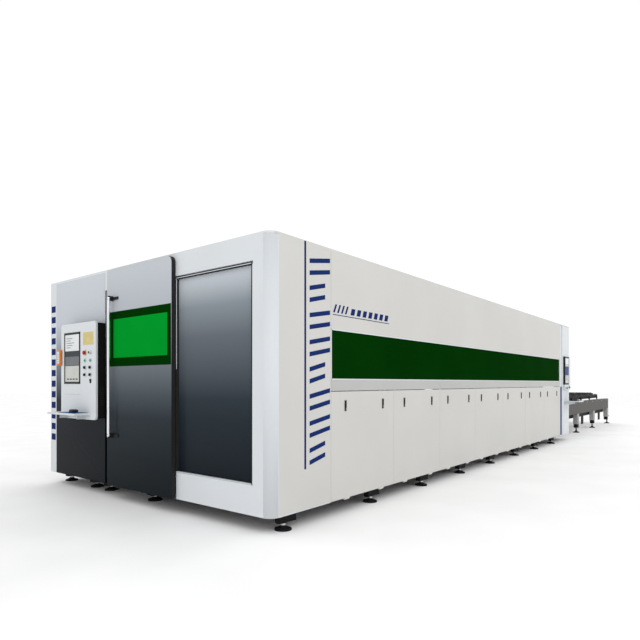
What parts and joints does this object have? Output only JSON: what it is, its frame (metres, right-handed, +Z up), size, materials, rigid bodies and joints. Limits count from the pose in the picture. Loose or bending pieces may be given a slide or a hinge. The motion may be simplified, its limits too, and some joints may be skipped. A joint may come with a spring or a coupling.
{
  "type": "fiber laser cutting machine",
  "caption": "Fully enclosed fiber laser sheet cutting machine: sliding operator door, windowed sides, gantry, two-level exchange table and levelling feet.",
  "frame": {"origin": "centre of the whole footprint at floor level", "axes": "+X along the machine towards the exchange table, +Z up, the operator's long windowed side at -Y"},
  "size_m": [15.1, 3.99, 2.4],
  "materials": {
    "white": "satin powder coat",
    "side_white": "satin powder coat",
    "dark_gloss": "gloss lacquer",
    "green_window": "laser-safe acrylic",
    "frame_paint": "textured paint",
    "black_paint": "satin",
    "black_plastic": "matte",
    "steel": "ground",
    "table_grey": "satin",
    "aluminium": "anodised",
    "red_plastic": "gloss",
    "green_plastic": "gloss",
    "slat_steel": "mill scale",
    "blue_paint": "satin"
  },
  "bodies": {
    "machine": {"foot_pads": "black_paint", "foot_brackets": "black_paint", "bed_frame": "frame_paint", "enclosure_frame": "frame_paint", "corner_columns": "side_white", "front_panels": "white", "front_left_panel": "dark_gloss", "recess_panel": "dark_gloss", "near_side_panels": "side_white", "near_window": "green_window", "far_side_panels": "side_white", "roof_panels": "side_white", "rear_header": "side_white", "door_track": "steel", "console_housing": "black_paint", "console_fascia": "white", "console_screen": "black_plastic", "keyboard_shelf": "white", "rear_console": "black_paint", "rear_shelf": "white", "x_guide_rails": "steel", "x_racks": "steel", "pallet_tracks": "steel", "table_frame": "table_grey", "drive_motor": "black_paint"},
    "operator_door": {"door_leaf": "dark_gloss", "door_window": "green_window", "door_handle": "aluminium"},
    "gantry": {"gantry_beam": "aluminium", "x_drives": "black_paint"},
    "carriage": {"y_carriage": "blue_paint"},
    "head": {"cutting_head": "aluminium"},
    "upper_pallet": {"upper_pallet": "black_paint", "upper_slats": "slat_steel"},
    "lower_pallet": {"lower_pallet": "black_paint", "lower_slats": "slat_steel"},
    "drive_shaft": {"drive_shaft": "steel"},
    "access_door_1": {"access_door_1": "side_white"},
    "access_latch_1": {"access_latch_1": "black_plastic"},
    "access_door_2": {"access_door_2": "side_white"},
    "access_latch_2": {"access_latch_2": "black_plastic"},
    "access_door_3": {"access_door_3": "side_white"},
    "access_latch_3": {"access_latch_3": "black_plastic"},
    "access_door_4": {"access_door_4": "side_white"},
    "access_latch_4": {"access_latch_4": "black_plastic"},
    "access_door_5": {"access_door_5": "side_white"},
    "access_latch_5": {"access_latch_5": "black_plastic"},
    "access_door_6": {"access_door_6": "side_white"},
    "access_latch_6": {"access_latch_6": "black_plastic"},
    "access_door_7": {"access_door_7": "side_white"},
    "access_latch_7": {"access_latch_7": "black_plastic"},
    "emergency_stop": {"emergency_stop": "red_plastic"},
    "key_switch": {"key_switch": "black_plastic"},
    "start_button": {"start_button": "green_plastic"},
    "reset_button": {"reset_button": "green_plastic"},
    "selector_1": {"selector_1": "black_plastic"},
    "selector_2": {"selector_2": "black_plastic"},
    "selector_3": {"selector_3": "black_plastic"},
    "selector_4": {"selector_4": "black_plastic"},
    "rear_button": {"rear_button": "black_plastic"}
  },
  "joints": [
    {"name": "operator_door_slide", "type": "slide", "parent": "machine", "child": "operator_door", "axis": [0, -1, 0], "range_m": [0, 1]},
    {"name": "access_door_1_hinge", "type": "hinge", "parent": "machine", "child": "access_door_1", "pos_m": [-5.9325, -1.688, 0.129], "axis": [1, 0, 0], "range_deg": [0, 90]},
    {"name": "access_latch_1_lift", "type": "hinge", "parent": "access_door_1", "child": "access_latch_1", "pos_m": [-5.9325, -1.6953, 1.043], "axis": [-1, 0, 0], "range_deg": [0, 40]},
    {"name": "access_door_2_hinge", "type": "hinge", "parent": "machine", "child": "access_door_2", "pos_m": [-4.8395, -1.688, 0.129], "axis": [1, 0, 0], "range_deg": [0, 90]},
    {"name": "access_latch_2_lift", "type": "hinge", "parent": "access_door_2", "child": "access_latch_2", "pos_m": [-4.8395, -1.6953, 1.043], "axis": [-1, 0, 0], "range_deg": [0, 40]},
    {"name": "access_door_3_hinge", "type": "hinge", "parent": "machine", "child": "access_door_3", "pos_m": [-3.7465, -1.688, 0.129], "axis": [1, 0, 0], "range_deg": [0, 90]},
    {"name": "access_latch_3_lift", "type": "hinge", "parent": "access_door_3", "child": "access_latch_3", "pos_m": [-3.7465, -1.6953, 1.043], "axis": [-1, 0, 0], "range_deg": [0, 40]},
    {"name": "access_door_4_hinge", "type": "hinge", "parent": "machine", "child": "access_door_4", "pos_m": [-2.6535, -1.688, 0.129], "axis": [1, 0, 0], "range_deg": [0, 90]},
    {"name": "access_latch_4_lift", "type": "hinge", "parent": "access_door_4", "child": "access_latch_4", "pos_m": [-2.6535, -1.6953, 1.043], "axis": [-1, 0, 0], "range_deg": [0, 40]},
    {"name": "access_door_5_hinge", "type": "hinge", "parent": "machine", "child": "access_door_5", "pos_m": [-1.5605, -1.688, 0.129], "axis": [1, 0, 0], "range_deg": [0, 90]},
    {"name": "access_latch_5_lift", "type": "hinge", "parent": "access_door_5", "child": "access_latch_5", "pos_m": [-1.5605, -1.6953, 1.043], "axis": [-1, 0, 0], "range_deg": [0, 40]},
    {"name": "access_door_6_hinge", "type": "hinge", "parent": "machine", "child": "access_door_6", "pos_m": [-0.4675, -1.688, 0.129], "axis": [1, 0, 0], "range_deg": [0, 90]},
    {"name": "access_latch_6_lift", "type": "hinge", "parent": "access_door_6", "child": "access_latch_6", "pos_m": [-0.4675, -1.6953, 1.043], "axis": [-1, 0, 0], "range_deg": [0, 40]},
    {"name": "access_door_7_hinge", "type": "hinge", "parent": "machine", "child": "access_door_7", "pos_m": [0.6255, -1.688, 0.129], "axis": [1, 0, 0], "range_deg": [0, 90]},
    {"name": "access_latch_7_lift", "type": "hinge", "parent": "access_door_7", "child": "access_latch_7", "pos_m": [0.6255, -1.6953, 1.043], "axis": [-1, 0, 0], "range_deg": [0, 40]},
    {"name": "gantry_travel", "type": "slide", "parent": "machine", "child": "gantry", "axis": [1, 0, 0], "range_m": [-6.4, 0.2]},
    {"name": "carriage_travel", "type": "slide", "parent": "gantry", "child": "carriage", "axis": [0, 1, 0], "range_m": [-1.36, 1.36]},
    {"name": "head_travel", "type": "slide", "parent": "carriage", "child": "head", "axis": [0, 0, 1], "range_m": [-0.28, 0]},
    {"name": "pallet_exchange", "type": "slide", "parent": "machine", "child": "upper_pallet", "axis": [-1, 0, 0], "range_m": [0, 6.8]},
    {"name": "lower_pallet_slide", "type": "slide", "parent": "machine", "child": "lower_pallet", "axis": [-1, 0, 0], "range_m": [-6.8, 0]},
    {"name": "drive_shaft_turn", "type": "hinge", "parent": "machine", "child": "drive_shaft", "pos_m": [7.17, 0.15, 0.61], "axis": [0, 1, 0], "continuous": true},
    {"name": "start_button_press", "type": "slide", "parent": "machine", "child": "start_button", "axis": [1, 0, 0], "range_m": [0, 0.004], "stiffness_N_per_m": 800},
    {"name": "reset_button_press", "type": "slide", "parent": "machine", "child": "reset_button", "axis": [1, 0, 0], "range_m": [0, 0.004], "stiffness_N_per_m": 800},
    {"name": "emergency_stop_press", "type": "slide", "parent": "machine", "child": "emergency_stop", "axis": [1, 0, 0], "range_m": [0, 0.006]},
    {"name": "rear_button_press", "type": "slide", "parent": "machine", "child": "rear_button", "axis": [0, 1, 0], "range_m": [0, 0.006]},
    {"name": "key_switch_turn", "type": "hinge", "parent": "machine", "child": "key_switch", "pos_m": [-7.375, 0.805, 1.523], "axis": [1, 0, 0], "range_deg": [0, 90]},
    {"name": "selector_1_turn", "type": "hinge", "parent": "machine", "child": "selector_1", "pos_m": [-7.375, 0.915, 1.366], "axis": [1, 0, 0], "range_deg": [0, 60]},
    {"name": "selector_2_turn", "type": "hinge", "parent": "machine", "child": "selector_2", "pos_m": [-7.375, 0.805, 1.366], "axis": [1, 0, 0], "range_deg": [0, 60]},
    {"name": "selector_3_turn", "type": "hinge", "parent": "machine", "child": "selector_3", "pos_m": [-7.375, 0.915, 1.289], "axis": [1, 0, 0], "range_deg": [0, 60]},
    {"name": "selector_4_turn", "type": "hinge", "parent": "machine", "child": "selector_4", "pos_m": [-7.375, 0.805, 1.289], "axis": [1, 0, 0], "range_deg": [0, 60]}
  ],
  "couplings": [
    {"joint": "lower_pallet_slide", "follows": "pallet_exchange", "ratio": -1},
    {"joint": "drive_shaft_turn", "follows": "pallet_exchange", "rad_per_m": 16.667}
  ]
}
